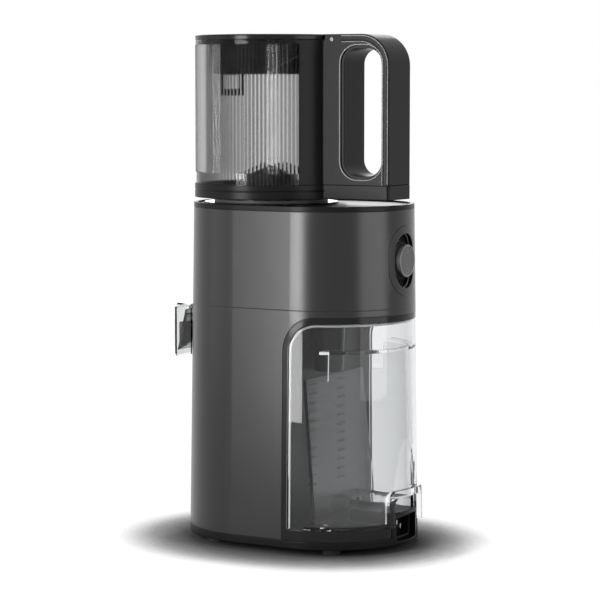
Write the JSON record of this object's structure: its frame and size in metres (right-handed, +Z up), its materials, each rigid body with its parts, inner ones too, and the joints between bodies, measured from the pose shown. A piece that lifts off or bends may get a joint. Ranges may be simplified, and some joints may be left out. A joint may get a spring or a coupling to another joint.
{
  "type": "cold press juicer",
  "caption": "Upright slow juicer with a stadium body, ribbed clear hopper, carrying handle, capped front spout, back dial and clear pull-out pulp container.",
  "frame": {"origin": "on the ground below the middle of the whole outline, spout and grip included", "axes": "+Z up, -Y towards the juice spout, +Y towards the handle, dial and pulp container, +X to the side"},
  "size_m": [0.1536, 0.232, 0.445],
  "materials": {
    "housing_satin": "satin dark grey metallic",
    "black_satin": "satin black moulding",
    "black_gloss": "gloss black moulding",
    "inner_plastic": "plain moulding",
    "clear_plastic": "clear moulding",
    "smoky_plastic": "smoky clear moulding",
    "rubber_black": "matte rubber",
    "silicone": "silicone",
    "steel": "brushed",
    "copper_winding": "wound",
    "gear_plastic": "natural moulding",
    "screw_plastic": "dark food-grade moulding",
    "board": "board"
  },
  "bodies": {
    "base": {"base_feet": "rubber_black", "base_plate": "inner_plastic", "base_ring": "black_satin", "inlet_housing": "black_satin", "power_inlet": "black_satin", "inlet_pins": "steel", "base_screws": "steel", "lower_shell": "housing_satin", "trim_frame": "housing_satin", "recess_liner": "inner_plastic", "pulp_chute": "black_satin", "upper_band": "housing_satin", "top_rim": "black_satin", "chamber_well": "inner_plastic", "juice_nozzle": "smoky_plastic", "cap_pin": "steel", "dial_bezel": "housing_satin", "rotary_switch": "inner_plastic", "switch_bracket": "inner_plastic", "control_board": "board", "motor_mounts": "rubber_black", "motor_can": "steel", "stator": "copper_winding", "motor_plate": "steel", "gearbox_case": "inner_plastic", "gearbox_cover": "inner_plastic", "shaft_bearing": "steel", "shaft_seal": "silicone", "gearbox_screws": "steel"},
    "rotor": {"motor_rotor": "steel", "rotor_pinion": "steel", "cooling_fan": "inner_plastic"},
    "layshaft": {"layshaft": "steel", "layshaft_wheel": "gear_plastic", "layshaft_pinion": "steel"},
    "drive": {"output_wheel": "gear_plastic", "drive_shaft": "steel"},
    "chamber": {"juicing_chamber": "smoky_plastic", "fine_strainer": "screw_plastic", "coarse_strainer": "screw_plastic", "chamber_seal": "silicone"},
    "screw": {"juicing_screw": "screw_plastic", "feed_wing": "screw_plastic"},
    "hopper": {"hopper_window": "smoky_plastic", "hopper_frame": "black_satin", "handle_cover": "black_satin", "hopper_ring": "black_satin", "hopper_seal": "silicone", "lid_pin": "steel"},
    "lid": {"lid_disc": "black_gloss", "lid_skirt": "black_satin"},
    "juice_cap": {"juice_cap": "clear_plastic", "cap_seal": "silicone"},
    "dial": {"dial_knob": "black_satin", "dial_shaft": "steel"},
    "pulp_container": {"pulp_container": "clear_plastic"}
  },
  "joints": [
    {"name": "drive_spin", "type": "hinge", "parent": "base", "child": "drive", "pos_m": [0, -0.02587, 0.15], "axis": [0, 0, 1], "continuous": true},
    {"name": "layshaft_spin", "type": "hinge", "parent": "base", "child": "layshaft", "pos_m": [0.03, -0.02587, 0.12], "axis": [0, 0, 1], "continuous": true},
    {"name": "rotor_spin", "type": "hinge", "parent": "base", "child": "rotor", "pos_m": [0, -0.02587, 0.06], "axis": [0, 0, 1], "continuous": true},
    {"name": "chamber_lift", "type": "slide", "parent": "base", "child": "chamber", "axis": [0, 0, 1], "range_m": [0, 0.14]},
    {"name": "screw_spin", "type": "hinge", "parent": "chamber", "child": "screw", "pos_m": [0, -0.02587, 0.2], "axis": [0, 0, 1], "continuous": true},
    {"name": "hopper_lift", "type": "slide", "parent": "chamber", "child": "hopper", "axis": [0, 0, 1], "range_m": [0, 0.06]},
    {"name": "lid_open", "type": "hinge", "parent": "hopper", "child": "lid", "pos_m": [0, 0.04613, 0.4406], "axis": [-1, 0, 0], "range_deg": [0, 95]},
    {"name": "juice_cap_open", "type": "hinge", "parent": "base", "child": "juice_cap", "pos_m": [0, -0.10137, 0.2018], "axis": [-1, 0, 0], "range_deg": [0, 50]},
    {"name": "dial_turn", "type": "hinge", "parent": "base", "child": "dial", "pos_m": [0, 0.10213, 0.251], "axis": [0, 1, 0], "range_deg": [-50, 50]},
    {"name": "container_slide", "type": "slide", "parent": "base", "child": "pulp_container", "axis": [0, 1, 0], "range_m": [0, 0.11]}
  ],
  "couplings": [
    {"joint": "layshaft_spin", "follows": "drive_spin", "ratio": -4},
    {"joint": "rotor_spin", "follows": "drive_spin", "ratio": 16},
    {"joint": "screw_spin", "follows": "drive_spin", "ratio": 1}
  ]
}
